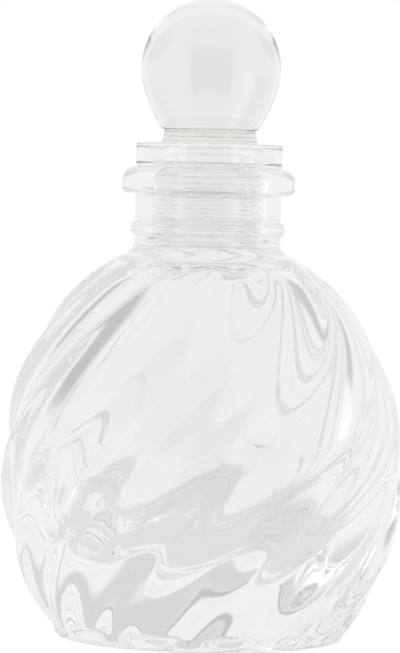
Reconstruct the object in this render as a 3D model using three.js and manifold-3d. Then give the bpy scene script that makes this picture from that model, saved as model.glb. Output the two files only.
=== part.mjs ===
// A small stoppered carafe of clear glass: a globular bottle with swirled flutes, and a stopper made of
// a hollow glass ball cemented on a clear cap whose soft ribbed plug seals the neck.
// Millimetres, +Z up, the base stands on z = 0 and the axis of the bottle is the Z axis.

import * as THREE from "three";
import { mergeVertices } from "three/addons/utils/BufferGeometryUtils.js";
import Module from "manifold-3d";

const wasm = await Module();
wasm.setup();

// Fits shared by mating pieces
const slip_gap = 0.3; // radial room of the plug's fins in the bore and of the plug's head in the cap

// Bottle, outside
const belly_radius = 40.4; // over the ridges
const belly_height = 32.6;
const shoulder_rise = 47.6; // height of the shoulder curve's pole above the belly
const shoulder_fullness = 2.07; // exponent of the shoulder curve, 2 is an ellipse
const heel_drop = 45.2; // depth of the heel curve's pole under the belly
const heel_fullness = 2;
const heel_round = 1;
const base_ring_width = 5;
const push_up = 1; // how far the middle of the base is raised

// Flutes that wind round the body
const flute_count = 12;
const flute_depth = 2.6; // at the belly
const flute_exponent = 1.3; // 1 leaves sharp ridges between round flutes, 2 leaves a wave
const flute_taper = 0.3; // how fast the depth falls with the body's radius, 1 is in proportion
const flute_twist = 1.35; // degrees of turn for each millimetre of height
const first_ridge_angle = 8; // azimuth of one ridge at the belly, degrees from +X
const flute_heel_fade = 2; // height over which the flutes run out at the base
const flute_shoulder_fade = 5; // height over which they run out under the neck

// Neck and mouth
const neck_radius = 14.6;
const neck_length = 12.3; // from the shoulder to the lip
const neck_wall = 3.4;
const neck_fillet = 2.4;
const bead_offset = 4; // from the shoulder to the bead
const bead_height = 2.8;
const bead_reach = 0.9; // how far the bead stands out of the neck
const lip_height = 5.9; // with the rim
const lip_reach = 2.65; // how far the lip stands out of the neck
const lip_round = 1.3;
const mouth_round = 2.65; // round of the lip's upper side
const mouth_rim = 0.5; // plain rim between that round and the mouth

// Bottle, inside
const wall_thickness = 7; // behind a ridge
const floor_thickness = 18; // at the middle of the bowl
const floor_round = 22; // round of the bowl between wall and floor
const bore_round = 0.4;
const bore_run_out = 4; // length over which the wall passes into the bore

// Stopper
const cap_height = 4.1;
const cap_wall = 1.35;
const cap_top_thickness = 0.6;
const cap_edge = 0.25;
const stem_height = 2.3;
const stem_top_radius = 9.3;
const stem_flare = 1; // how much wider the stem is at its foot
const plug_length = 17.8; // below the mouth
const plug_wall = 1.3;
const plug_lead = 0.7; // chamfer at the plug's open end
const fin_reach = 0.6;
const fin_pitch = 1.7;
const fin_thickness = 0.5;
const fin_slope = 0.3; // height of a fin's sloping side
const first_fin_offset = 2; // from the plug's open end
const cement_thickness = 0.6;
const cement_inset = 0.2; // from the edge of the stem
const ball_radius = 13.9;
const ball_draw_out = 0.39; // share by which the lower half is drawn out towards the cap
const ball_wall = 1; // round the belt
const ball_top_wall = 2;
const ball_foot_width = 1; // ring of the ball's flat, round the opening of its hollow
const ball_seat_overhang = 0.2; // how much wider the ball's flat is than the stem

// How finely the round forms are divided
const columns_per_flute = 5;
const body_rows = 26;
const cavity_rows = 13;
const cavity_columns = 40;
const stopper_columns = 36;
const ball_rows = 9;
const arc_steps = 4;

// Sizes and heights that follow from the ones above
const shoulder_radius = neck_radius + neck_fillet;
const shoulder_narrowing = (shoulder_radius / belly_radius) ** shoulder_fullness;
const shoulder_share = (1 - shoulder_narrowing) ** (1 / shoulder_fullness);
const shoulder_top = belly_height + shoulder_rise * shoulder_share;
const lip_bottom = shoulder_top + neck_length;
const mouth_height = lip_bottom + lip_height;
const lip_radius = neck_radius + lip_reach;
const bore_radius = neck_radius - neck_wall;
const cap_radius = neck_radius; // the cap is as wide as the neck
const cap_hollow_radius = cap_radius - cap_wall;
const cap_top = mouth_height + cap_height;
const cap_ceiling = cap_top - cap_top_thickness;
const stem_top = cap_top + stem_height;
const ball_seat = stem_top + cement_thickness;
const ball_seat_radius = stem_top_radius + ball_seat_overhang;
const ball_seat_angle = Math.acos(ball_seat_radius / ball_radius);
const ball_centre = ball_seat + ball_drop(ball_seat_angle);
const fin_radius = bore_radius - slip_gap;
const plug_radius = fin_radius - fin_reach;
const plug_bottom = mouth_height - plug_length;
const fin_room = plug_length - first_fin_offset - 2 * fin_slope - fin_thickness;
const fin_count = Math.floor(fin_room / fin_pitch) + 1;

const radians = THREE.MathUtils.degToRad;

function point(radius, height) {
  return new THREE.Vector2(radius, height);
}

// Points of a quarter round or any other arc of a profile, angles in degrees.
function arc(centre_radius, centre_height, size, from, to, steps = arc_steps, size_up = size) {
  const points = [];
  for (let i = 0; i <= steps; i += 1) {
    const angle = radians(from + ((to - from) * i) / steps);
    points.push(point(centre_radius + size * Math.cos(angle), centre_height + size_up * Math.sin(angle)));
  }
  return points;
}

// Turns a profile round the Z axis into a closed mesh without doubled points.
function turned(profile, columns) {
  const geometry = new THREE.LatheGeometry(profile, columns);
  geometry.rotateX(Math.PI / 2);
  return welded(geometry);
}

function welded(geometry) {
  geometry.deleteAttribute("normal");
  geometry.deleteAttribute("uv");
  return mergeVertices(geometry, 1e-5);
}

function solid_of(geometry) {
  const shape = new wasm.Mesh({
    numProp: 3,
    vertProperties: Float32Array.from(geometry.getAttribute("position").array),
    triVerts: Uint32Array.from(geometry.getIndex().array),
  });
  return new wasm.Manifold(shape);
}

function geometry_of(solid) {
  const shape = solid.getMesh();
  const geometry = new THREE.BufferGeometry();
  geometry.setAttribute("position", new THREE.BufferAttribute(Float32Array.from(shape.vertProperties), 3));
  geometry.setIndex(new THREE.BufferAttribute(Uint32Array.from(shape.triVerts), 1));
  return geometry;
}

// Radius of the body over its ridges.
function body_radius(height) {
  const above = height > belly_height;
  const pole = above ? shoulder_rise : heel_drop;
  const fullness = above ? shoulder_fullness : heel_fullness;
  const share = Math.abs(height - belly_height) / pole;
  return belly_radius * (1 - share ** fullness) ** (1 / fullness);
}

// Depth of the flutes at one height: full round the belly, none at the base and under the neck.
function flute_depth_at(height) {
  const heel = THREE.MathUtils.smoothstep(height, heel_round, heel_round + flute_heel_fade);
  const shoulder = THREE.MathUtils.smoothstep(shoulder_top - height, 0, flute_shoulder_fade);
  return flute_depth * heel * shoulder * (body_radius(height) / belly_radius) ** flute_taper;
}

// Winds the columns of the body with the flutes and sinks them between the ridges.
function flute_body(geometry) {
  const position = geometry.getAttribute("position");
  for (let i = 0; i < position.count; i += 1) {
    const x = position.getX(i);
    const y = position.getY(i);
    const height = position.getZ(i);
    const radius = Math.hypot(x, y);
    const angle = Math.atan2(y, x);
    const wound_height = Math.min(Math.max(height, 0), shoulder_top);
    const turn = radians(first_ridge_angle + flute_twist * (wound_height - belly_height));
    const on_body = height > heel_round && height < shoulder_top;
    const between = Math.abs(Math.sin((angle * flute_count) / 2)) ** flute_exponent;
    const sunk = on_body ? radius - flute_depth_at(height) * between : radius;
    position.setXY(i, sunk * Math.cos(angle + turn), sunk * Math.sin(angle + turn));
  }
}

function bottle_profile() {
  const base_radius = body_radius(heel_round) - heel_round;
  const profile = [point(0, push_up), point(base_radius - 2 * base_ring_width, push_up)];
  profile.push(point(base_radius - base_ring_width, 0));
  profile.push(...arc(base_radius, heel_round, heel_round, -90, -30, 2));
  for (let i = 0; i <= body_rows; i += 1) {
    const height = heel_round + ((shoulder_top - heel_round) * i) / body_rows;
    profile.push(point(body_radius(height), height));
  }
  profile.push(point(neck_radius + 0.3 * neck_fillet, shoulder_top + 0.35 * neck_fillet));
  profile.push(point(neck_radius, shoulder_top + neck_fillet));
  const bead_middle = shoulder_top + bead_offset + bead_height / 2;
  profile.push(...arc(neck_radius, bead_middle, bead_reach, -90, 90, 2 * arc_steps, bead_height / 2));
  profile.push(point(neck_radius, lip_bottom));
  profile.push(...arc(lip_radius - lip_round, lip_bottom + lip_round, lip_round, -90, 0));
  const rim_radius = lip_radius - mouth_round;
  profile.push(...arc(rim_radius, mouth_height - mouth_rim - mouth_round, mouth_round, 0, 90));
  profile.push(point(rim_radius, mouth_height));
  profile.push(point(0, mouth_height));
  return profile;
}

// Everything that is hollow in the bottle, up through the mouth.
function cavity_profile() {
  const wall_top = shoulder_top - bore_run_out;
  const corner_height = floor_thickness + floor_round;
  const corner_radius = body_radius(corner_height) - wall_thickness - floor_round;
  const bowl = arc(corner_radius, corner_height, floor_round, -90, 0, 2 * arc_steps);
  const profile = [point(0, floor_thickness), ...bowl];
  for (let i = 1; i <= cavity_rows; i += 1) {
    const height = corner_height + ((wall_top - corner_height) * i) / cavity_rows;
    profile.push(point(Math.max(body_radius(height) - wall_thickness, bore_radius), height));
  }
  profile.push(point(bore_radius, wall_top + 1.4 * bore_run_out));
  profile.push(point(bore_radius, mouth_height - bore_round));
  profile.push(point(bore_radius + bore_round, mouth_height));
  profile.push(point(bore_radius + bore_round, mouth_height + 1));
  profile.push(point(0, mouth_height + 1));
  return profile;
}

function build_bottle() {
  const outside = turned(bottle_profile(), flute_count * columns_per_flute);
  flute_body(outside);
  const inside = turned(cavity_profile(), cavity_columns);
  return geometry_of(solid_of(outside).subtract(solid_of(inside)));
}

// A hollow cap that stands on the mouth, with a short stem on top for the ball.
function build_cap() {
  const stem_foot_radius = stem_top_radius + stem_flare;
  return turned(
    [
      point(0, cap_ceiling),
      point(cap_hollow_radius, cap_ceiling),
      point(cap_hollow_radius, mouth_height),
      point(cap_radius - cap_edge, mouth_height),
      point(cap_radius, mouth_height + cap_edge),
      point(cap_radius, cap_top - cap_edge),
      point(cap_radius - cap_edge, cap_top),
      point(stem_foot_radius, cap_top),
      point(stem_top_radius + stem_flare / 3, cap_top + stem_height / 3),
      point(stem_top_radius, stem_top),
      point(0, stem_top),
    ],
    stopper_columns
  );
}

// A soft hollow plug, open at the bottom, with sealing fins and a head that fills the cap.
function build_plug() {
  const head_radius = cap_hollow_radius - slip_gap;
  const hollow_top = cap_ceiling - plug_wall;
  const profile = [point(0, hollow_top), point(plug_radius - plug_wall, hollow_top)];
  profile.push(point(plug_radius - plug_wall, plug_bottom));
  profile.push(point(plug_radius - plug_lead, plug_bottom));
  profile.push(point(plug_radius, plug_bottom + plug_lead));
  for (let i = 0; i < fin_count; i += 1) {
    const height = plug_bottom + first_fin_offset + i * fin_pitch;
    profile.push(point(plug_radius, height));
    profile.push(point(fin_radius, height + fin_slope));
    profile.push(point(fin_radius, height + fin_slope + fin_thickness));
    profile.push(point(plug_radius, height + 2 * fin_slope + fin_thickness));
  }
  profile.push(point(plug_radius, mouth_height));
  profile.push(point(head_radius, mouth_height));
  profile.push(point(head_radius, cap_ceiling));
  profile.push(point(0, cap_ceiling));
  return turned(profile, stopper_columns);
}

// The thin layer of clear cement between the cap's stem and the flat of the ball.
function build_cement() {
  const radius = stem_top_radius - cement_inset;
  return turned(
    [point(0, stem_top), point(radius, stem_top), point(radius, ball_seat), point(0, ball_seat)],
    stopper_columns
  );
}

// How far the ball reaches under its centre, at an angle in radians under its belt.
function ball_drop(angle) {
  const sine = Math.sin(angle);
  return ball_radius * sine * (1 + ball_draw_out * sine ** 2);
}

// The ball's hollow, from its top down to the opening in its flat.
function ball_hollow_profile() {
  const hollow_radius = ball_radius - ball_wall;
  const hollow_rise = ball_radius - ball_top_wall;
  const opening_radius = ball_seat_radius - ball_foot_width;
  const foot_inset = hollow_radius * Math.cos(ball_seat_angle) - opening_radius;
  const profile = [point(0, ball_centre + hollow_rise)];
  profile.push(...arc(0, ball_centre, hollow_radius, 90, 0, ball_rows, hollow_rise).slice(1));
  for (let i = 1; i <= ball_rows; i += 1) {
    const share = i / ball_rows;
    const angle = ball_seat_angle * share;
    const radius = hollow_radius * Math.cos(angle) - foot_inset * share ** 2;
    profile.push(point(radius, ball_centre - ball_drop(angle)));
  }
  return profile;
}

// A hollow ball, round above and drawn out below to a flat that sits on the cement.
function build_ball() {
  const profile = ball_hollow_profile();
  for (let i = 0; i < ball_rows; i += 1) {
    const angle = ball_seat_angle * (1 - i / ball_rows);
    profile.push(point(ball_radius * Math.cos(angle), ball_centre - ball_drop(angle)));
  }
  profile.push(...arc(0, ball_centre, ball_radius, 0, 90, ball_rows).slice(0, -1));
  profile.push(point(0, ball_centre + ball_radius));
  return turned(profile, stopper_columns);
}

const clear_glass = { color: 0xf3f6f5, roughness: 0.04, metalness: 0 };
const clear_plastic = { color: 0xf1f1ed, roughness: 0.12, metalness: 0 };
const soft_plastic = { color: 0xecece9, roughness: 0.4, metalness: 0 };
const pale_cement = { color: 0xeae5d3, roughness: 0.2, metalness: 0 };

const carafe = new THREE.Group();
carafe.name = "carafe";

function add_piece(name, geometry, finish) {
  const mesh = new THREE.Mesh(geometry, new THREE.MeshStandardMaterial(finish));
  mesh.geometry.computeVertexNormals();
  mesh.name = name;
  carafe.add(mesh);
}

add_piece("bottle", build_bottle(), clear_glass);
add_piece("seal_plug", build_plug(), soft_plastic);
add_piece("stopper_cap", build_cap(), clear_plastic);
add_piece("ball_cement", build_cement(), pale_cement);
add_piece("ball_knob", build_ball(), clear_glass);

export default carafe;
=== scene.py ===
"""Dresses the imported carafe: a bottle with wound flutes, and a stopper of ball, cement, cap and finned plug.

Sizes are in metres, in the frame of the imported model: +Z up, the base on z = 0, the bottle's axis on Z.
"""

import logging
import math
from collections.abc import Sequence
from dataclasses import dataclass, field
from enum import Enum
from typing import Any

import bpy
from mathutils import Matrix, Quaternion, Vector


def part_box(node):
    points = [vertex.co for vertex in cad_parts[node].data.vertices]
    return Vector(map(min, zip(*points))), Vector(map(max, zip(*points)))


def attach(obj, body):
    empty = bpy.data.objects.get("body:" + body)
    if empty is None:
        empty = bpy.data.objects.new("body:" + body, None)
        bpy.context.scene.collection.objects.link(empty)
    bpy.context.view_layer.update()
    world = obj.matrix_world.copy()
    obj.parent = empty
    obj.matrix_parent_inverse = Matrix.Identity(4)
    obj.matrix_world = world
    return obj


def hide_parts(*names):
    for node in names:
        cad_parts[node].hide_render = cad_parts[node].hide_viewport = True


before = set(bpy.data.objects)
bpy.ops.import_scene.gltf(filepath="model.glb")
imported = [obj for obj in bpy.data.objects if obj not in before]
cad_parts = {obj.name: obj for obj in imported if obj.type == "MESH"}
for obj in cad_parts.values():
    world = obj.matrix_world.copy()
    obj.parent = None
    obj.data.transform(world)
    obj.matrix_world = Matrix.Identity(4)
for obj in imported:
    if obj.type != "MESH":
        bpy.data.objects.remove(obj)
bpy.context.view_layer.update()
log = logging.getLogger("carafe")

MM = 0.001
TOUCHING = 1e-7
WHITE = (1.0, 1.0, 1.0, 1.0)
Point = tuple[float, float]
Profile = list[Point]
Colour = tuple[float, float, float]
Socket = bpy.types.NodeSocket


class Body(Enum):
    """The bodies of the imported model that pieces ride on."""

    BOTTLE = "bottle"
    STOPPER = "stopper"


class Node(Enum):
    """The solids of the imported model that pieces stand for."""

    BOTTLE = "bottle"
    PLUG = "seal_plug"
    CAP = "stopper_cap"
    CEMENT = "ball_cement"
    BALL = "ball_knob"


class Slot(Enum):
    """The record's material slots."""

    BOTTLE_GLASS = "bottle_glass"
    PLUG_PLASTIC = "plug_plastic"
    CAP_PLASTIC = "cap_plastic"
    CEMENT = "cement"
    BALL_GLASS = "ball_glass"


def smooth_share(value: float, low: float, high: float) -> float:
    """Gives how far a value has come from low to high, eased at both ends.

    Args:
        value: The value to place.
        low: Where the share is 0.
        high: Where the share is 1.

    Returns:
        The eased share, from 0 to 1.
    """
    share = min(max((value - low) / (high - low), 0.0), 1.0)
    return share * share * (3.0 - 2.0 * share)


class Outline:
    """A profile of radius and height that is drawn on from its last point, with the solid on its left."""

    def __init__(self, points: Profile) -> None:
        """Starts with the given points."""
        self.points = list(points)

    def run(self, last: Point, steps: int = 1) -> None:
        """Draws a straight line.

        Args:
            last: Where the line ends.
            steps: Number of its points.
        """
        first = self.points[-1]
        for step in range(1, steps + 1):
            radius = first[0] + (last[0] - first[0]) * step / steps
            self.points.append((radius, first[1] + (last[1] - first[1]) * step / steps))

    def turn(self, corner: Point, last: Point, steps: int) -> None:
        """Draws a smooth bend that leaves one line and joins another.

        Args:
            corner: Where the two lines would meet.
            last: Where the bend ends.
            steps: Number of its points.
        """
        first = self.points[-1]
        for step in range(1, steps + 1):
            share = step / steps
            weights = ((1.0 - share) ** 2, 2.0 * share * (1.0 - share), share**2)
            radius = weights[0] * first[0] + weights[1] * corner[0] + weights[2] * last[0]
            height = weights[0] * first[1] + weights[1] * corner[1] + weights[2] * last[1]
            self.points.append((radius, height))

    def sweep(
        self, centre: Point, size: float, start: float, end: float, steps: int, rise: float | None = None
    ) -> None:
        """Draws an arc, without its first point where the profile already stands there.

        Args:
            centre: Radius and height of the arc's centre.
            size: Radius of the arc.
            start: First angle in degrees, 0 points away from the axis.
            end: Last angle in degrees.
            steps: Number of steps from first to last.
            rise: Half height where the arc is an ellipse, else as the radius.
        """
        tall = size if rise is None else rise
        for step in range(steps + 1):
            angle = math.radians(start + (end - start) * step / steps)
            point = (centre[0] + size * math.cos(angle), centre[1] + tall * math.sin(angle))
            if step or math.dist(point, self.points[-1]) > TOUCHING:
                self.points.append(point)


def turned(
    name: str, profile: Profile, columns: int, relief: Sequence[float] | None = None
) -> bpy.types.Object:
    """Turns a profile round the Z axis into a closed mesh whose poles are single points.

    Args:
        name: Name of the piece.
        profile: Radius and height of each row, with the solid on the left of its run.
        columns: Number of columns round the axis.
        relief: One weight for each row, kept on the points as the attribute "relief".

    Returns:
        The new object, linked to the scene.
    """
    points: list[tuple[float, float, float]] = []
    weights: list[float] = []
    rows: list[list[int]] = []
    for index, (radius, height) in enumerate(profile):
        count = columns if radius > TOUCHING else 1
        rows.append([len(points) + column for column in range(count)])
        for column in range(count):
            angle = 2.0 * math.pi * column / columns
            points.append((radius * math.cos(angle), radius * math.sin(angle), height))
            weights.append(relief[index] if relief else 0.0)
    faces: list[tuple[int, ...]] = []
    for lower, upper in zip(rows, rows[1:]):
        for column in range(columns):
            following = (column + 1) % columns
            if len(lower) == 1:
                faces.append((lower[0], upper[following], upper[column]))
            elif len(upper) == 1:
                faces.append((lower[column], lower[following], upper[0]))
            else:
                faces.append((lower[column], lower[following], upper[following], upper[column]))
    mesh = bpy.data.meshes.new(name)
    mesh.from_pydata(points, [], faces)
    mesh.attributes.new("relief", "FLOAT", "POINT").data.foreach_set("value", weights)
    mesh.shade_smooth()
    mesh.update()
    piece = bpy.data.objects.new(name, mesh)
    bpy.context.scene.collection.objects.link(piece)
    return piece


class Wiring:
    """Lays the nodes of one tree and joins them."""

    def __init__(self, tree: bpy.types.NodeTree) -> None:
        """Keeps the tree that is wired."""
        self.tree = tree

    def node(self, kind: str, **settings: Any) -> bpy.types.Node:
        """Adds a node.

        Args:
            kind: Blender's name of the node type.
            **settings: Properties of the node, by name.

        Returns:
            The new node.
        """
        node = self.tree.nodes.new(kind)
        for name, value in settings.items():
            setattr(node, name, value)
        return node

    def feed(self, socket: Socket, value: Any) -> None:
        """Joins a socket to another one, or sets its own value.

        Args:
            socket: The input to feed.
            value: An output socket, or a plain value.
        """
        if isinstance(value, Socket):
            self.tree.links.new(value, socket)
        else:
            socket.default_value = value

    def maths(self, operation: str, *values: Any) -> Socket:
        """Adds a Math node.

        Args:
            operation: Blender's name of the operation.
            *values: Sockets or numbers for its inputs.

        Returns:
            The result's socket.
        """
        node = self.node("ShaderNodeMath", operation=operation)
        for socket, value in zip(node.inputs, values):
            self.feed(socket, value)
        return node.outputs[0]

    def ease(self, value: Any, low: Any, high: Any, start: Any = 0.0, end: Any = 1.0) -> Socket:
        """Adds an eased Map Range node.

        Args:
            value: Socket that is placed between low and high.
            low: Where the result is start.
            high: Where the result is end.
            start: Result at low.
            end: Result at high.

        Returns:
            The result's socket.
        """
        node = self.node("ShaderNodeMapRange", interpolation_type="SMOOTHSTEP")
        names = ("Value", "From Min", "From Max", "To Min", "To Max")
        for name, given in zip(names, (value, low, high, start, end)):
            self.feed(node.inputs[name], given)
        return node.outputs["Result"]

    def mix(self, kind: str, share: Any, first: Any, second: Any) -> Socket:
        """Adds a Mix node.

        Args:
            kind: Blender's name of what is mixed, FLOAT or RGBA.
            share: How much of the second there is.
            first: Socket or value at a share of 0.
            second: Socket or value at a share of 1.

        Returns:
            The result's socket.
        """
        node = self.node("ShaderNodeMix", data_type=kind)
        for name, given in zip(("Factor", "A", "B"), (share, first, second)):
            self.feed(node.inputs[name], given)
        return node.outputs["Result"]

    def parts(self, vector: Socket) -> tuple[Socket, ...]:
        """Splits a vector into its three parts."""
        node = self.node("ShaderNodeSeparateXYZ")
        self.feed(node.inputs[0], vector)
        return tuple(node.outputs)

    def reach(self, across: Socket, along: Socket) -> Socket:
        """Gives how far a place is from the Z axis.

        Args:
            across: The place along X.
            along: The place along Y.

        Returns:
            The distance's socket.
        """
        squares = (self.maths("MULTIPLY", across, across), self.maths("MULTIPLY", along, along))
        return self.maths("SQRT", self.maths("ADD", *squares))

    def bearing(self, across: Socket, along: Socket) -> Socket:
        """Gives a direction round the Z axis in degrees, where 0 is the camera's side.

        Args:
            across: The direction's part along X.
            along: The direction's part along Y.

        Returns:
            The angle's socket.
        """
        return self.maths("DEGREES", self.maths("ARCTAN2", across, self.maths("MULTIPLY", along, -1.0)))


class ReliefTree:
    """A geometry tree that moves the points of a turned mesh out of or into its round shape."""

    sizes: tuple[str, ...] = ()

    def __init__(self, name: str) -> None:
        """Makes the tree with its named inputs and wires it.

        Args:
            name: Name of the tree.
        """
        self.tree = bpy.data.node_groups.new(name, "GeometryNodeTree")
        sockets = self.tree.interface
        sockets.new_socket("Geometry", in_out="INPUT", socket_type="NodeSocketGeometry")
        for size in self.sizes:
            sockets.new_socket(size, in_out="INPUT", socket_type="NodeSocketFloat")
        sockets.new_socket("Finish", in_out="INPUT", socket_type="NodeSocketMaterial")
        sockets.new_socket("Geometry", in_out="OUTPUT", socket_type="NodeSocketGeometry")
        self.wiring = Wiring(self.tree)
        self.given = self.wiring.node("NodeGroupInput").outputs
        self.place = self.wiring.node("GeometryNodeInputPosition").outputs[0]
        across, along, self.height = self.wiring.parts(self.place)
        self.angle = self.wiring.maths("ARCTAN2", along, across)
        self.radius = self.wiring.reach(across, along)
        relief = self.wiring.node("GeometryNodeInputNamedAttribute", data_type="FLOAT")
        relief.inputs["Name"].default_value = "relief"
        self.relief = relief.outputs["Attribute"]
        self.finish(*self.shape())

    def shape(self) -> tuple[Socket, Socket]:
        """Gives the sockets of each point's new radius and new angle."""
        return self.radius, self.angle

    def finish(self, radius: Socket, angle: Socket) -> None:
        """Sets the points and ends the tree in real geometry with its finish.

        Args:
            radius: The points' new radius.
            angle: The points' new angle round the axis.
        """
        wiring = self.wiring
        moved = wiring.node("ShaderNodeCombineXYZ")
        wiring.feed(moved.inputs[0], wiring.maths("MULTIPLY", radius, wiring.maths("COSINE", angle)))
        wiring.feed(moved.inputs[1], wiring.maths("MULTIPLY", radius, wiring.maths("SINE", angle)))
        wiring.feed(moved.inputs[2], self.height)
        place = wiring.node("GeometryNodeSetPosition")
        wiring.feed(place.inputs["Geometry"], self.given["Geometry"])
        wiring.feed(place.inputs["Position"], moved.outputs[0])
        real = wiring.node("GeometryNodeRealizeInstances")
        wiring.feed(real.inputs[0], place.outputs[0])
        dressed = wiring.node("GeometryNodeSetMaterial")
        wiring.feed(dressed.inputs["Geometry"], real.outputs[0])
        wiring.feed(dressed.inputs["Material"], self.given["Finish"])
        wiring.feed(wiring.node("NodeGroupOutput").inputs[0], dressed.outputs[0])

    def apply(self, piece: bpy.types.Object, values: dict[str, Any]) -> None:
        """Shapes a piece with the tree and leaves it a plain mesh.

        Args:
            piece: The turned piece.
            values: The tree's inputs by name.
        """
        modifier = piece.modifiers.new("relief", "NODES")
        modifier.node_group = self.tree
        for socket in self.tree.interface.items_tree:
            if socket.in_out == "INPUT" and socket.name in values:
                modifier[socket.identifier] = values[socket.name]
        graph = bpy.context.evaluated_depsgraph_get()
        shaped = bpy.data.meshes.new_from_object(piece.evaluated_get(graph), depsgraph=graph)
        rough = piece.data
        piece.modifiers.remove(modifier)
        piece.data = shaped
        bpy.data.meshes.remove(rough)
        shaped.name = piece.name
        shaped.shade_smooth()


class FluteTree(ReliefTree):
    """Winds the columns of the body and sinks round flutes between rounded ridges."""

    sizes = (
        "Flutes", "Depth", "Exponent", "Ridge Round", "Twist", "First Ridge", "Belly Radius", "Belly Height",
        "Taper", "Heel", "Heel Fade", "Shoulder", "Shoulder Fade", "Inner Wave", "Outer Wave", "Wave Scale",
    )

    def shape(self) -> tuple[Socket, Socket]:
        """Gives the sockets of each point's new radius and new angle."""
        wiring, given = self.wiring, self.given
        maths = wiring.maths
        wound = maths("MINIMUM", maths("MAXIMUM", self.height, 0.0), given["Shoulder"])
        climbed = maths("SUBTRACT", wound, given["Belly Height"])
        turn = maths("MULTIPLY_ADD", given["Twist"], climbed, given["First Ridge"])
        half_count = maths("MULTIPLY", given["Flutes"], 0.5)
        sine = maths("SINE", maths("MULTIPLY", self.angle, half_count))
        rounding = maths("POWER", given["Ridge Round"], 2.0)
        softened = maths("SQRT", maths("MULTIPLY_ADD", sine, sine, rounding))
        lowest = maths("POWER", given["Ridge Round"], given["Exponent"])
        between = maths("SUBTRACT", maths("POWER", softened, given["Exponent"]), lowest)
        heel = wiring.ease(self.height, given["Heel"], maths("ADD", given["Heel"], given["Heel Fade"]))
        fade_end = maths("SUBTRACT", given["Shoulder"], given["Shoulder Fade"])
        shoulder = wiring.ease(self.height, given["Shoulder"], fade_end)
        faded = maths("MULTIPLY", heel, shoulder)
        size = maths("POWER", maths("DIVIDE", self.radius, given["Belly Radius"]), given["Taper"])
        depth = maths("MULTIPLY", given["Depth"], maths("MULTIPLY", size, faded))
        sunk = maths("MULTIPLY", self.relief, maths("MULTIPLY", depth, between))
        noise = wiring.node("ShaderNodeTexNoise", noise_dimensions="3D")
        wiring.feed(noise.inputs["Vector"], self.place)
        wiring.feed(noise.inputs["Scale"], given["Wave Scale"])
        noise.inputs["Detail"].default_value = 1.0
        inner = maths("MULTIPLY", given["Inner Wave"], maths("SUBTRACT", 1.0, self.relief))
        outer = maths("MULTIPLY", given["Outer Wave"], self.relief)
        waved = maths("MULTIPLY", maths("MULTIPLY", maths("ADD", inner, outer), faded), noise.outputs["Fac"])
        radius = maths("SUBTRACT", maths("SUBTRACT", self.radius, sunk), waved)
        return radius, maths("ADD", self.angle, turn)


class FinTree(ReliefTree):
    """Raises the plug's sealing fins, evenly spaced up its wall."""

    sizes = ("First Fin", "Pitch", "Count", "Reach", "Slope", "Thickness")

    def shape(self) -> tuple[Socket, Socket]:
        """Gives the sockets of each point's new radius and new angle."""
        wiring, given = self.wiring, self.given
        maths = wiring.maths
        steps = maths("DIVIDE", maths("SUBTRACT", self.height, given["First Fin"]), given["Pitch"])
        number = maths("FLOOR", steps)
        above = maths("MULTIPLY", maths("SUBTRACT", steps, number), given["Pitch"])
        crest = maths("ADD", given["Slope"], given["Thickness"])
        rise = wiring.ease(above, 0.0, given["Slope"])
        fall = wiring.ease(above, maths("ADD", crest, given["Slope"]), crest)
        from_first = maths("GREATER_THAN", number, -0.5)
        ranked = maths("MULTIPLY", from_first, maths("LESS_THAN", number, given["Count"]))
        bump = maths("MULTIPLY", maths("MULTIPLY", rise, fall), maths("MULTIPLY", ranked, self.relief))
        return maths("MULTIPLY_ADD", given["Reach"], bump, self.radius), self.angle


class EffectGroup:
    """A shader group shared by finishes; each kind wires its own effect."""

    outputs: tuple[tuple[str, str], ...] = ()

    def __init__(self, name: str, inputs: Sequence[str]) -> None:
        """Makes the group with its named sockets and wires it.

        Args:
            name: Name of the group.
            inputs: Names of its number inputs, beside the surface's coordinates.
        """
        self.tree = bpy.data.node_groups.new(name, "ShaderNodeTree")
        self.tree.interface.new_socket("Vector", in_out="INPUT", socket_type="NodeSocketVector")
        for socket in inputs:
            self.tree.interface.new_socket(socket, in_out="INPUT", socket_type="NodeSocketFloat")
        for socket, kind in self.outputs:
            self.tree.interface.new_socket(socket, in_out="OUTPUT", socket_type=kind)
        self.wiring = Wiring(self.tree)
        self.given = self.wiring.node("NodeGroupInput").outputs
        self.result = self.wiring.node("NodeGroupOutput").inputs
        self.wire()

    def wire(self) -> None:
        """Joins the group's inputs to its outputs."""

    def noise(self, scale: Any, detail: float) -> Socket:
        """Adds a noise on the surface's coordinates.

        Args:
            scale: Socket or number for the noise's scale.
            detail: Number of finer layers.

        Returns:
            The noise's value.
        """
        node = self.wiring.node("ShaderNodeTexNoise", noise_dimensions="3D")
        self.wiring.feed(node.inputs["Vector"], self.given["Vector"])
        self.wiring.feed(node.inputs["Scale"], scale)
        node.inputs["Detail"].default_value = detail
        return node.outputs["Fac"]

    def placed(self, wiring: Wiring, vector: Socket, **values: float) -> Any:
        """Places the group in a material.

        Args:
            wiring: The material's wiring.
            vector: The surface's coordinates.
            **values: The group's inputs, with a low line for each space.

        Returns:
            The outputs of the placed group.
        """
        node = wiring.node("ShaderNodeGroup", node_tree=self.tree)
        wiring.feed(node.inputs["Vector"], vector)
        for name, value in values.items():
            node.inputs[name.replace("_", " ").title()].default_value = value
        return node.outputs


class MouldWave(EffectGroup):
    """The soft unevenness that a mould and the cooling leave on glass and clear plastic."""

    outputs = (("Height", "NodeSocketFloat"),)
    finer: float = 6.0

    def wire(self) -> None:
        """Adds a fine ripple to a broad wave."""
        broad = self.noise(self.given["Scale"], 1.0)
        fine = self.noise(self.wiring.maths("MULTIPLY", self.given["Scale"], self.finer), 2.0)
        shared = self.wiring.maths("MULTIPLY", fine, self.given["Fine Share"])
        self.wiring.feed(self.result["Height"], self.wiring.maths("ADD", broad, shared))


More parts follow.
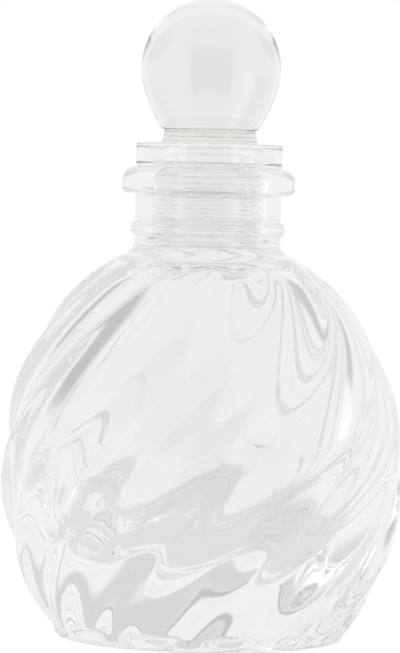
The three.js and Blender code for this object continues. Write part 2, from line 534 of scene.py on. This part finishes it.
class HandFilm(EffectGroup):
    """The faint film that handling leaves: patches that are slightly less polished."""

    outputs = (("Roughness", "NodeSocketFloat"), ("Shade", "NodeSocketFloat"))
    bare_below: float = 0.45
    full_above: float = 0.75

    def wire(self) -> None:
        """Spreads patches of film between the clean and the filmed roughness."""
        spread = (self.noise(self.given["Scale"], 4.0), self.bare_below, self.full_above)
        rough = self.wiring.ease(*spread, self.given["Clean"], self.given["Filmed"])
        self.wiring.feed(self.result["Roughness"], rough)
        self.wiring.feed(self.result["Shade"], self.wiring.ease(*spread))


@dataclass
class Effects:
    """The shared effects, built once for all finishes."""

    wave: MouldWave = field(default_factory=lambda: MouldWave("mould_wave", ("Scale", "Fine Share")))
    film: HandFilm = field(default_factory=lambda: HandFilm("hand_film", ("Scale", "Clean", "Filmed")))


@dataclass(frozen=True)
class CementStainAndShade:
    """A tone placed from the cement's top edge: cement's tone on a rim, and painted shade on the cement
    itself.
    """

    tint: Colour
    starts_below: float
    full_below: float
    starts_inside: float = 0.5 * MM
    full_inside: float = 0.1 * MM

    def over(self, wiring: Wiring, place: Socket, tint: Socket) -> Socket:
        """Wires the tone over a tint.

        Args:
            wiring: The material's wiring.
            place: Where on the piece the tint is asked for.
            tint: The tint without the tone.

        Returns:
            The tint with the tone.
        """
        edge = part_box(Node.CEMENT.value)[1]
        across, along, height = wiring.parts(place)
        high = wiring.ease(height, edge.z - self.starts_below, edge.z - self.full_below)
        radius = wiring.reach(across, along)
        wide = wiring.ease(radius, edge.x - self.starts_inside, edge.x - self.full_inside)
        return wiring.mix("RGBA", wiring.maths("MULTIPLY", high, wide), tint, (*self.tint, 1.0))


@dataclass(frozen=True)
class ClearFinish:
    """A clear solid that light passes through: glass, plastic or cement.

    A presence under 1 lets that much less of the light meet the solid at all.
    """

    name: str
    tint: Colour
    film_tint: Colour
    bend_of_light: float
    clean: float
    filmed: float
    film_scale: float
    wave_scale: float
    wave_height: float
    fine_share: float
    stain_and_shade: CementStainAndShade | None = None
    presence: float = 1.0

    def material(self, effects: Effects) -> bpy.types.Material:
        """Makes the material.

        Args:
            effects: The shared effects.

        Returns:
            The new material.
        """
        material = bpy.data.materials.new(self.name)
        material.use_nodes = True
        wiring = Wiring(material.node_tree)
        surface = material.node_tree.nodes["Principled BSDF"].inputs
        place = wiring.node("ShaderNodeTexCoord").outputs["Object"]
        film = effects.film.placed(
            wiring, place, scale=self.film_scale, clean=self.clean, filmed=self.filmed
        )
        wave = effects.wave.placed(wiring, place, scale=self.wave_scale, fine_share=self.fine_share)
        tint = wiring.mix("RGBA", film["Shade"], (*self.tint, 1.0), (*self.film_tint, 1.0))
        # The cement's tone on a rim; on the cement itself it is a painted shade along its top edge.
        if self.stain_and_shade:
            tint = self.stain_and_shade.over(wiring, place, tint)
        bump = wiring.node("ShaderNodeBump")
        bump.inputs["Strength"].default_value = 1.0
        bump.inputs["Distance"].default_value = self.wave_height
        wiring.feed(bump.inputs["Height"], wave["Height"])
        wiring.feed(surface["Base Color"], tint)
        wiring.feed(surface["Roughness"], film["Roughness"])
        wiring.feed(surface["Normal"], bump.outputs["Normal"])
        surface["IOR"].default_value = self.bend_of_light
        surface["Transmission Weight"].default_value = 1.0
        surface["Alpha"].default_value = self.presence
        return material


BOTTLE_GLASS = ClearFinish(
    name="bottle_glass",
    tint=(0.957, 0.959, 0.959),
    film_tint=(0.948, 0.951, 0.951),
    bend_of_light=1.5,
    clean=0.0,
    filmed=0.02,
    film_scale=40.0,
    wave_scale=90.0,
    wave_height=0.03 * MM,
    fine_share=0.04,
)
BALL_GLASS = ClearFinish(
    name="ball_glass",
    tint=(0.938, 0.94, 0.94),
    film_tint=(0.93, 0.933, 0.933),
    bend_of_light=1.5,
    clean=0.0,
    filmed=0.02,
    film_scale=60.0,
    wave_scale=60.0,
    wave_height=0.01 * MM,
    fine_share=0.03,
)
CAP_PLASTIC = ClearFinish(
    name="cap_plastic",
    tint=(0.98, 0.98, 0.975),
    film_tint=(0.97, 0.97, 0.96),
    bend_of_light=1.49,
    clean=0.01,
    filmed=0.05,
    film_scale=90.0,
    wave_scale=160.0,
    wave_height=0.01 * MM,
    fine_share=0.1,
    stain_and_shade=CementStainAndShade((0.83, 0.82, 0.775), starts_below=2.787 * MM, full_below=2.187 * MM),
)
PLUG_PLASTIC = ClearFinish(
    name="plug_plastic",
    tint=(0.998, 0.998, 0.996),
    film_tint=(0.985, 0.986, 0.984),
    bend_of_light=1.45,
    clean=0.1,
    filmed=0.2,
    film_scale=150.0,
    wave_scale=220.0,
    wave_height=0.01 * MM,
    fine_share=0.2,
    presence=0.22,
)
CEMENT = ClearFinish(
    name="pale_cement",
    tint=(0.97, 0.965, 0.94),
    film_tint=(0.95, 0.945, 0.915),
    bend_of_light=1.45,
    clean=0.05,
    filmed=0.15,
    film_scale=300.0,
    wave_scale=300.0,
    wave_height=0.01 * MM,
    fine_share=0.3,
    # Painted shade: a dark line along the cement's top edge, where the ball's glass meets it.
    stain_and_shade=CementStainAndShade((0.4, 0.39, 0.35), starts_below=0.187 * MM, full_below=0.047 * MM),
)


def put_in_frame(piece: bpy.types.Object, node: Node, body: Body, slot: Slot) -> None:
    """Lets a finished piece stand for its solid and ride on its body.

    Args:
        piece: The finished piece.
        node: The solid that it stands for.
        body: The body that it rides on.
        slot: The record's slot of its finish; not used.
    """
    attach(piece, body.value)
    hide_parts(node.value)
    corners = [Vector(corner) for corner in piece.bound_box]
    size = (corners[6] - corners[0]) / MM
    faces = len(piece.data.polygons)
    log.info("%s stands for %s: %d faces, %.1f x %.1f x %.1f mm", piece.name, node.value, faces, *size)


@dataclass
class Bottle:
    """The clear glass bottle with its wound flutes, ringed neck and hollow inside."""

    belly_radius: float = 40.4 * MM
    belly_height: float = 32.6 * MM
    shoulder_rise: float = 47.6 * MM
    shoulder_fullness: float = 2.07
    heel_drop: float = 45.2 * MM
    heel_fullness: float = 2.0
    heel_round: float = 1.0 * MM
    base_ring_width: float = 5.0 * MM
    push_up: float = 1.0 * MM
    flutes: int = 12
    flute_depth: float = 2.6 * MM
    flute_exponent: float = 1.3
    ridge_round: float = 0.3
    flute_taper: float = 0.3
    flute_twist: float = math.radians(1.35) / MM
    first_ridge: float = math.radians(8.0)
    heel_fade: float = 2.0 * MM
    shoulder_fade: float = 5.0 * MM
    inner_wave: float = 0.2 * MM
    outer_wave: float = 0.06 * MM
    wave_scale: float = 60.0
    neck_radius: float = 14.6 * MM
    neck_wall: float = 3.4 * MM
    neck_fillet: float = 2.4 * MM
    fillet_pull: float = 0.475
    bead_offset: float = 4.0 * MM
    bead_height: float = 2.8 * MM
    bead_reach: float = 0.9 * MM
    lip_height: float = 5.9 * MM
    lip_reach: float = 2.65 * MM
    lip_round: float = 1.3 * MM
    lip_crease: float = 0.3 * MM
    mouth_round: float = 2.65 * MM
    mouth_rim: float = 0.5 * MM
    rim_edge: float = 0.15 * MM
    wall: float = 7.0 * MM
    floor_thickness: float = 18.0 * MM
    floor_round: float = 22.0 * MM
    bore_round: float = 0.4 * MM
    bore_run_out: float = 4.0 * MM
    run_out_start: float = 0.6
    run_out_pull: float = 0.25
    columns: int = 288
    push_up_rows: int = 16
    body_rows: int = 120
    bore_rows: int = 24
    wall_rows: int = 48
    mouth_height: float = field(init=False)

    def __post_init__(self) -> None:
        """Takes the mouth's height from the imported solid."""
        self.mouth_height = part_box(Node.BOTTLE.value)[1].z

    @property
    def shoulder_top(self) -> float:
        """Height at which the shoulder meets the neck's fillet."""
        share = (self.neck_radius + self.neck_fillet) / self.belly_radius
        reach = (1.0 - share**self.shoulder_fullness) ** (1.0 / self.shoulder_fullness)
        return self.belly_height + self.shoulder_rise * reach

    @property
    def bore_radius(self) -> float:
        """Radius of the neck's bore."""
        return self.neck_radius - self.neck_wall

    def body_radius(self, height: float) -> float:
        """Gives the body's radius over its ridges.

        Args:
            height: Height above the base.

        Returns:
            The radius at that height.
        """
        above = height > self.belly_height
        pole = self.shoulder_rise if above else self.heel_drop
        fullness = self.shoulder_fullness if above else self.heel_fullness
        share = abs(height - self.belly_height) / pole
        return self.belly_radius * (1.0 - share**fullness) ** (1.0 / fullness)

    def hollow_radius(self, height: float) -> float:
        """Gives the radius of the hollow's wall, which is nowhere narrower than the bore."""
        return max(self.body_radius(height) - self.wall, self.bore_radius)

    def outside(self) -> Profile:
        """Gives the outer profile, from the middle of the base up to the mouth's flat."""
        foot = self.body_radius(self.heel_round) - self.heel_round
        ring = foot - self.base_ring_width
        outline = Outline([(0.0, self.push_up)])
        for step in range(1, self.push_up_rows + 1):
            radius = ring * step / self.push_up_rows
            outline.run((radius, self.push_up * smooth_share(ring - radius, 0.0, self.base_ring_width)))
        outline.run((foot, 0.0), steps=3)
        outline.sweep((foot, self.heel_round), self.heel_round, -90.0, -30.0, steps=5)
        rise = self.shoulder_top - self.heel_round
        for row in range(self.body_rows + 1):
            height = self.heel_round + rise * row / self.body_rows
            outline.run((self.body_radius(height), height))
        self.draw_neck(outline)
        return outline.points

    def draw_neck(self, outline: Outline) -> None:
        """Draws the neck with its bead and its lip.

        Args:
            outline: The outer profile, drawn up to the end of the shoulder.
        """
        top, neck, lip = self.shoulder_top, self.neck_radius, self.neck_radius + self.lip_reach
        pull = (neck, top + self.fillet_pull * self.neck_fillet)
        outline.turn(pull, (neck, top + self.neck_fillet), steps=10)
        middle = top + self.bead_offset + self.bead_height / 2
        outline.sweep((neck, middle), self.bead_reach, -90.0, 90.0, steps=16, rise=self.bead_height / 2)
        lip_bottom = self.mouth_height - self.lip_height
        outline.run((neck, lip_bottom - self.lip_crease), steps=6)
        outline.turn((neck, lip_bottom), (neck + self.lip_crease, lip_bottom), steps=4)
        low = (lip - self.lip_round, lip_bottom + self.lip_round)
        outline.sweep(low, self.lip_round, -90.0, 0.0, steps=10)
        rim, flat, edge = lip - self.mouth_round, self.mouth_height - self.mouth_rim, self.rim_edge
        outline.run((lip, flat - self.mouth_round), steps=8)
        outline.sweep((rim, flat - self.mouth_round), self.mouth_round, 0.0, 86.0, steps=14)
        outline.turn((rim, outline.points[-1][1]), (rim, flat + edge), steps=4)
        outline.run((rim, self.mouth_height - edge))
        outline.turn((rim, self.mouth_height), (rim - edge, self.mouth_height), steps=4)

    def inside(self) -> Profile:
        """Gives the inner profile, from the bore's edge down to the middle of the floor."""
        bore = self.bore_radius
        edge = (bore + self.bore_round, self.mouth_height - self.bore_round)
        outline = Outline([(edge[0], self.mouth_height)])
        outline.sweep(edge, self.bore_round, 90.0, 180.0, steps=6)
        outline.run((bore, self.shoulder_top + self.run_out_start * self.bore_run_out), self.bore_rows)
        wall_top = self.shoulder_top - self.bore_run_out
        pull = (bore, wall_top + self.run_out_pull * self.bore_run_out)
        outline.turn(pull, (self.hollow_radius(wall_top), wall_top), steps=12)
        corner_height = self.floor_thickness + self.floor_round
        for row in range(1, self.wall_rows + 1):
            height = wall_top + (corner_height - wall_top) * row / self.wall_rows
            outline.run((self.hollow_radius(height), height))
        corner = self.body_radius(corner_height) - self.wall - self.floor_round
        outline.sweep((corner, corner_height), self.floor_round, 0.0, -90.0, steps=18)
        outline.run((0.0, self.floor_thickness), steps=12)
        return outline.points

    def build(self) -> bpy.types.Object:
        """Turns the closed bottle from its outer and inner profiles."""
        outside, inside = self.outside(), self.inside()
        relief = [1.0] * len(outside) + [0.0] * len(inside)
        return turned("fluted_bottle", outside + inside, self.columns, relief)

    def dress(self, piece: bpy.types.Object, effects: Effects) -> None:
        """Winds the flutes into the bottle and gives it its glass.

        Args:
            piece: The turned bottle.
            effects: The shared effects.
        """
        FluteTree("wound_flutes").apply(
            piece,
            {
                "Flutes": float(self.flutes),
                "Depth": self.flute_depth,
                "Exponent": self.flute_exponent,
                "Ridge Round": self.ridge_round,
                "Twist": self.flute_twist,
                "First Ridge": self.first_ridge,
                "Belly Radius": self.belly_radius,
                "Belly Height": self.belly_height,
                "Taper": self.flute_taper,
                "Heel": self.heel_round,
                "Heel Fade": self.heel_fade,
                "Shoulder": self.shoulder_top,
                "Shoulder Fade": self.shoulder_fade,
                "Inner Wave": self.inner_wave,
                "Outer Wave": self.outer_wave,
                "Wave Scale": self.wave_scale,
                "Finish": BOTTLE_GLASS.material(effects),
            },
        )
        put_in_frame(piece, Node.BOTTLE, Body.BOTTLE, Slot.BOTTLE_GLASS)


@dataclass
class Stopper:
    """The stopper: a hollow glass ball on a layer of cement, a clear cap, and a finned plug."""

    seam: float = 0.02 * MM
    cap_wall: float = 1.35 * MM
    cap_top_thickness: float = 0.6 * MM
    cap_edge: float = 0.25 * MM
    cap_height: float = 4.1 * MM
    stem_top_radius: float = 9.3 * MM
    stem_flare: float = 1.0 * MM
    plug_radius: float = 10.3 * MM
    plug_wall: float = 1.3 * MM
    plug_lead: float = 0.7 * MM
    plug_edge: float = 0.2 * MM
    fin_reach: float = 0.6 * MM
    fin_pitch: float = 1.7 * MM
    fin_thickness: float = 0.5 * MM
    fin_slope: float = 0.3 * MM
    first_fin: float = 2.0 * MM
    fins: int = 9
    cement_bulge: float = 0.1 * MM
    ball_drawn_out: float = 0.39
    ball_seat_radius: float = 9.5 * MM
    ball_foot_width: float = 1.0 * MM
    ball_edge: float = 0.3 * MM
    ball_wall: float = 1.0 * MM
    ball_top_wall: float = 2.0 * MM
    columns: int = 192
    finned_rows: int = 180
    ball_rows: int = 60

    def plug(self) -> bpy.types.Object:
        """Turns the hollow plug with its head; the fins come with its finish."""
        low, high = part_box(Node.PLUG.value)
        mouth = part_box(Node.BOTTLE.value)[1].z + self.seam
        head, ceiling = high.x, high.z - self.seam
        wall, lead, edge = self.plug_radius, self.plug_lead, self.plug_edge
        hollow, hollow_top = wall - self.plug_wall, high.z - self.plug_wall
        outline = Outline([(0.0, hollow_top), (hollow - lead, hollow_top)])
        outline.turn((hollow, hollow_top), (hollow, hollow_top - lead), steps=6)
        outline.run((hollow, low.z), steps=20)
        outline.run((wall - lead, low.z))
        outline.turn((wall, low.z), (wall, low.z + lead), steps=6)
        bare = len(outline.points)
        outline.run((wall, mouth), self.finned_rows)
        finned = len(outline.points)
        outline.run((head - edge, mouth), steps=3)
        outline.turn((head, mouth), (head, mouth + edge), steps=4)
        outline.run((head, ceiling - edge), steps=4)
        outline.turn((head, ceiling), (head - edge, ceiling), steps=4)
        outline.run((0.0, ceiling))
        relief = [1.0 if bare <= row < finned - 1 else 0.0 for row in range(len(outline.points))]
        return turned("finned_plug", outline.points, self.columns, relief)

    def cap(self) -> bpy.types.Object:
        """Turns the hollow cap with the short stem that carries the ball."""
        low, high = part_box(Node.CAP.value)
        radius, bottom, edge = high.x, low.z + self.seam, self.cap_edge
        top, stem_top, stem = low.z + self.cap_height, high.z - self.seam, self.stem_top_radius
        ceiling, hollow = top - self.cap_top_thickness, radius - self.cap_wall
        outline = Outline([(0.0, ceiling), (hollow - edge, ceiling)])
        outline.turn((hollow, ceiling), (hollow, ceiling - edge), steps=4)
        outline.run((hollow, bottom), steps=6)
        outline.run((radius - edge, bottom), steps=3)
        outline.turn((radius, bottom), (radius, bottom + edge), steps=5)
        outline.run((radius, top - edge), steps=8)
        outline.turn((radius, top), (radius - edge, top), steps=5)
        outline.run((stem + self.stem_flare + edge, top), steps=6)
        outline.turn((stem, top), (stem, stem_top - edge), steps=12)
        outline.turn((stem, stem_top), (stem - edge, stem_top), steps=4)
        outline.run((0.0, stem_top))
        return turned("clear_cap", outline.points, self.columns)

    def cement(self) -> bpy.types.Object:
        """Turns the thin layer of cement, whose edge stands out a little."""
        low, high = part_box(Node.CEMENT.value)
        middle, tall = (low.z + high.z) / 2, (high.z - low.z) / 2 - self.seam
        outline = Outline([(0.0, low.z + self.seam)])
        edge = (high.x - self.cement_bulge, middle)
        outline.sweep(edge, self.cement_bulge, -90.0, 90.0, steps=12, rise=tall)
        outline.run((0.0, high.z - self.seam))
        return turned("cement_layer", outline.points, self.columns)

    def ball_curve(self, across: float, above: float, inset: float) -> Profile:
        """Gives one surface of the ball, round above and drawn out below, from its foot up to its pole.

        Args:
            across: Radius at the belt.
            above: Height of the pole over the belt.
            inset: How far the foot is drawn in.

        Returns:
            The points of the curve.
        """
        radius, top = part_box(Node.BALL.value)[1].yz
        seat_angle = math.acos(self.ball_seat_radius / radius)
        below: Profile = []
        for row in range(self.ball_rows):
            share = 1.0 - row / self.ball_rows
            sine, cosine = math.sin(seat_angle * share), math.cos(seat_angle * share)
            drop = radius * sine * (1.0 + self.ball_drawn_out * sine**2)
            below.append((across * cosine - inset * share**2, top - radius - drop))
        outline = Outline(below)
        outline.sweep((0.0, top - radius), across, 0.0, 90.0, self.ball_rows, rise=above)
        return outline.points

    def ball(self) -> bpy.types.Object:
        """Turns the hollow ball, open at the flat on which it sits."""
        low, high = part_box(Node.BALL.value)
        radius, bottom, edge, seat = high.y, low.z + self.seam, self.ball_edge, self.ball_seat_radius
        hollow, opening = radius - self.ball_wall, seat - self.ball_foot_width
        inset = hollow * seat / radius - opening
        inside = self.ball_curve(hollow, radius - self.ball_top_wall, inset)[::-1]
        outside = [point for point in self.ball_curve(radius, radius, 0.0) if point[1] > bottom + edge]
        outline = Outline([point for point in inside if point[1] > bottom + edge])
        outline.turn((opening, bottom), (opening + edge, bottom), steps=5)
        outline.run((seat - edge, bottom))
        outline.turn((seat, bottom), outside[0], steps=5)
        return turned("glass_ball", outline.points + outside[1:], self.columns)

    def dress(self, effects: Effects) -> None:
        """Builds the stopper's pieces, gives each its finish and sets them in the frame.

        Args:
            effects: The shared effects.
        """
        plug = self.plug()
        FinTree("sealing_fins").apply(
            plug,
            {
                "First Fin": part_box(Node.PLUG.value)[0].z + self.first_fin,
                "Pitch": self.fin_pitch,
                "Count": self.fins - 0.5,
                "Reach": self.fin_reach,
                "Slope": self.fin_slope,
                "Thickness": self.fin_thickness,
                "Finish": PLUG_PLASTIC.material(effects),
            },
        )
        put_in_frame(plug, Node.PLUG, Body.STOPPER, Slot.PLUG_PLASTIC)
        for piece, finish, node, slot in (
            (self.cap(), CAP_PLASTIC, Node.CAP, Slot.CAP_PLASTIC),
            (self.cement(), CEMENT, Node.CEMENT, Slot.CEMENT),
            (self.ball(), BALL_GLASS, Node.BALL, Slot.BALL_GLASS),
        ):
            piece.data.materials.append(finish.material(effects))
            put_in_frame(piece, node, Body.STOPPER, slot)


@dataclass(frozen=True)
class TentPatch:
    """One wall of the tent that is brighter or darker than the rest.

    Angles are in degrees, 0 is the camera's side and turns to the right are positive.
    A patch that stands close to the body is seen only after a number of bounces, so not through the ball.
    A mirrored one is seen by an odd number of reflections alone, so not straight through from behind.
    """

    azimuth: float
    elevation: float
    half_width: float
    half_height: float
    edge: float
    level: float
    first: int = 0
    last: int = 99
    mirrored: bool = False

    def share(self, wiring: Wiring, azimuth: Socket, elevation: Socket, ahead: float = 0.0) -> Socket:
        """Wires how much of this patch a direction sees.

        Args:
            wiring: The world's wiring.
            azimuth: Direction round the axis, in degrees.
            elevation: Direction above the floor, in degrees.
            ahead: What a surface's count of bounces lacks against the world's.

        Returns:
            The share, from 0 outside to 1 inside the patch.
        """
        maths = wiring.maths
        round_off = maths("WRAP", maths("SUBTRACT", azimuth, self.azimuth), 180.0, -180.0)
        turned_off = maths("ABSOLUTE", round_off)
        raised_off = maths("ABSOLUTE", maths("SUBTRACT", elevation, self.elevation))
        beside = wiring.ease(turned_off, self.half_width + self.edge, self.half_width - self.edge)
        within = wiring.ease(raised_off, self.half_height + self.edge, self.half_height - self.edge)
        bounces = maths("ADD", wiring.node("ShaderNodeLightPath").outputs["Ray Depth"], ahead)
        early = maths("GREATER_THAN", bounces, self.first - 0.5)
        late = maths("LESS_THAN", bounces, self.last + 0.5)
        share = maths("MULTIPLY", maths("MULTIPLY", beside, within), maths("MULTIPLY", early, late))
        if self.mirrored:
            straight = maths("MODULO", bounces, 2.0)
            share = maths("MULTIPLY", share, maths("SUBTRACT", 1.0, straight))
        return share


@dataclass
class Studio:
    """The pale floor, the soft tent of light with its front opening, and the camera."""

    pixel: float = 0.2 * MM
    image_height: int = 653
    camera_distance: float = 0.7
    camera_height: float = 85.4 * MM
    camera_offset: float = -1.1 * MM
    aim_height: float = 62.1 * MM
    camera_roll: float = math.radians(1.3)
    camera_nearest: float = 0.01
    camera_farthest: float = 50.0
    sensor: float = 36.0
    floor_size: float = 6.0
    floor_colour: Colour = (0.9, 0.9, 0.9)
    floor_roughness: float = 0.9
    # How glass sees the floor: a glow that is darker in a painted shadow under the carafe, between the
    # floor_shade radii.
    floor_seen: float = 0.93
    floor_painted_shadow: float = 0.76
    floor_shade: tuple[float, float] = (34.0 * MM, 48.0 * MM)
    floor_lift: float = 0.3
    tent: float = 0.92
    patches: tuple[TentPatch, ...] = (
        # All round, for light that comes by many bounces
        TentPatch(0.0, 0.0, 181.0, 91.0, 0.5, 0.56, first=10),
        # The dim band at the back that shows through the solid heel, and its darker upper edge
        TentPatch(180.0, 17.0, 45.0, 6.0, 2.0, 0.7, first=3, last=3),
        TentPatch(180.0, 24.0, 45.0, 1.0, 0.7, 0.55, first=3, last=3),
        # A dim wall behind on the left and a bright one on the left
        TentPatch(-114.0, 27.0, 24.0, 20.0, 7.0, 0.55, first=4),
        TentPatch(-74.0, 28.0, 18.0, 34.0, 12.0, 1.3, first=4),
        # A bright strip low on the right, a dim wall behind on the right and a bright one on the right
        TentPatch(108.0, 0.0, 16.0, 16.0, 10.0, 1.05, first=4),
        TentPatch(132.0, 25.0, 12.0, 12.0, 5.0, 0.6, first=4),
        TentPatch(76.0, 28.0, 18.0, 34.0, 12.0, 1.15, first=4),
    )
    opening: TentPatch = TentPatch(0.0, 1.0, 36.0, 31.0, 2.0, 0.2, last=4, mirrored=True)
    # Height from which the painted shade of the front opening on the floor is placed.
    opening_seen_from: float = 100.0 * MM
    lamp_power: float = 2.0
    lamp_size: float = 1.2
    lamp_height: float = 1.1
    bounces: int = 24

    def floor(self) -> None:
        """Lays the floor as a part of the stage."""
        half = self.floor_size / 2
        corners = [(-half, -half, 0.0), (half, -half, 0.0), (half, half, 0.0), (-half, half, 0.0)]
        mesh = bpy.data.meshes.new("floor")
        mesh.from_pydata(corners, [], [(0, 1, 2, 3)])
        mesh.materials.append(self.floor_material())
        floor = bpy.data.objects.new("floor", mesh)
        bpy.context.scene.collection.objects.link(floor)

    def floor_material(self) -> bpy.types.Material:
        """Makes the floor's finish; the camera sees its shadow, and glass sees a glow with a painted shadow
        under the carafe and the painted shade of the front opening.

        Returns:
            The new material.
        """
        material = bpy.data.materials.new("pale_floor")
        material.use_nodes = True
        wiring = Wiring(material.node_tree)
        nodes = material.node_tree.nodes
        surface = nodes["Principled BSDF"]
        surface.inputs["Base Color"].default_value = (*self.floor_colour, 1.0)
        surface.inputs["Roughness"].default_value = self.floor_roughness
        surface.inputs["Specular IOR Level"].default_value = 0.0
        path = wiring.node("ShaderNodeLightPath").outputs
        lift = wiring.node("ShaderNodeEmission")
        lift.inputs["Color"].default_value = WHITE
        strength = wiring.maths("MULTIPLY", path["Is Camera Ray"], self.floor_lift)
        wiring.feed(lift.inputs["Strength"], strength)
        lifted = wiring.node("ShaderNodeAddShader")
        wiring.feed(lifted.inputs[0], surface.outputs[0])
        wiring.feed(lifted.inputs[1], lift.outputs[0])
        across, along, _ = wiring.parts(wiring.node("ShaderNodeTexCoord").outputs["Object"])
        away = wiring.reach(across, along)
        elevation = wiring.maths("DEGREES", wiring.maths("ARCTAN2", -self.opening_seen_from, away))
        # Painted shade: where glass would see the tent's front opening, the floor glows as dark as the
        # opening.
        opening = self.opening.share(wiring, wiring.bearing(across, along), elevation, ahead=1.0)
        # Painted shadow: glass sees the floor glow darker near the carafe.
        seen = wiring.ease(away, *self.floor_shade, self.floor_painted_shadow, self.floor_seen)
        # Glass sees the floor as this glow, with its painted shadow and the painted shade of the front
        # opening.
        bright = wiring.node("ShaderNodeEmission")
        bright.inputs["Color"].default_value = WHITE
        wiring.feed(bright.inputs["Strength"], wiring.mix("FLOAT", opening, seen, self.opening.level))
        mixed = wiring.node("ShaderNodeMixShader")
        through = wiring.maths("MAXIMUM", path["Is Transmission Ray"], path["Is Glossy Ray"])
        wiring.feed(mixed.inputs[0], through)
        wiring.feed(mixed.inputs[1], lifted.outputs[0])
        wiring.feed(mixed.inputs[2], bright.outputs[0])
        wiring.feed(nodes["Material Output"].inputs["Surface"], mixed.outputs[0])
        return material

    def world(self) -> None:
        """Hangs the tent of soft light, white to the camera, with its walls and its front opening."""
        world = bpy.data.worlds.new("tent")
        bpy.context.scene.world = world
        world.use_nodes = True
        world.node_tree.nodes.clear()
        wiring = Wiring(world.node_tree)
        across, along, up = wiring.parts(wiring.node("ShaderNodeTexCoord").outputs["Generated"])
        azimuth = wiring.bearing(across, along)
        elevation = wiring.maths("DEGREES", wiring.maths("ARCSINE", up))
        level: Any = self.tent
        for patch in (*self.patches, self.opening):
            level = wiring.mix("FLOAT", patch.share(wiring, azimuth, elevation), level, patch.level)
        tent = wiring.node("ShaderNodeBackground")
        tent.inputs["Color"].default_value = WHITE
        wiring.feed(tent.inputs["Strength"], level)
        white = wiring.node("ShaderNodeBackground")
        white.inputs["Color"].default_value = WHITE
        mixed = wiring.node("ShaderNodeMixShader")
        wiring.feed(mixed.inputs[0], wiring.node("ShaderNodeLightPath").outputs["Is Camera Ray"])
        wiring.feed(mixed.inputs[1], tent.outputs[0])
        wiring.feed(mixed.inputs[2], white.outputs[0])
        wiring.feed(wiring.node("ShaderNodeOutputWorld").inputs["Surface"], mixed.outputs[0])

    def lamp(self) -> None:
        """Hangs one wide soft lamp over the carafe for its shadow; it leaves no mark in the glass."""
        data = bpy.data.lights.new("soft_top", "AREA")
        data.shape = "DISK"
        data.size = self.lamp_size
        data.energy = self.lamp_power
        lamp = bpy.data.objects.new("soft_top", data)
        lamp.location = (0.0, 0.0, self.lamp_height)
        lamp.visible_glossy = False
        lamp.visible_transmission = False
        bpy.context.scene.collection.objects.link(lamp)

    def camera(self) -> None:
        """Stands the camera where the photograph was taken from."""
        data = bpy.data.cameras.new("camera")
        camera = bpy.data.objects.new("camera", data)
        place = Vector((self.camera_offset, -self.camera_distance, self.camera_height))
        view = Vector((self.camera_offset, 0.0, self.aim_height)) - place
        camera.location = place
        camera.rotation_mode = "QUATERNION"
        turn = Quaternion((0.0, 0.0, 1.0), self.camera_roll)
        camera.rotation_quaternion = view.to_track_quat("-Z", "Y") @ turn
        data.sensor_width = self.sensor
        data.lens = self.sensor * view.length / (self.image_height * self.pixel)
        data.clip_start = self.camera_nearest
        data.clip_end = self.camera_farthest
        bpy.context.scene.collection.objects.link(camera)
        bpy.context.scene.camera = camera

    def set_up(self) -> None:
        """Sets the whole studio and lets light pass through many walls of glass."""
        self.camera()
        self.floor()
        self.world()
        self.lamp()
        scene = bpy.context.scene
        scene.view_settings.view_transform = "Standard"
        scene.cycles.blur_glossy = 0.0
        scene.cycles.max_bounces = self.bounces
        scene.cycles.transmission_bounces = self.bounces
        scene.cycles.glossy_bounces = self.bounces


def main() -> None:
    """Sets up the studio and builds the bottle and the stopper."""
    logging.basicConfig(level=logging.INFO, format="%(name)s: %(message)s")
    Studio().set_up()
    effects = Effects()
    bottle = Bottle()
    bottle.dress(bottle.build(), effects)
    Stopper().dress(effects)


if __name__ == "__main__":
    main()
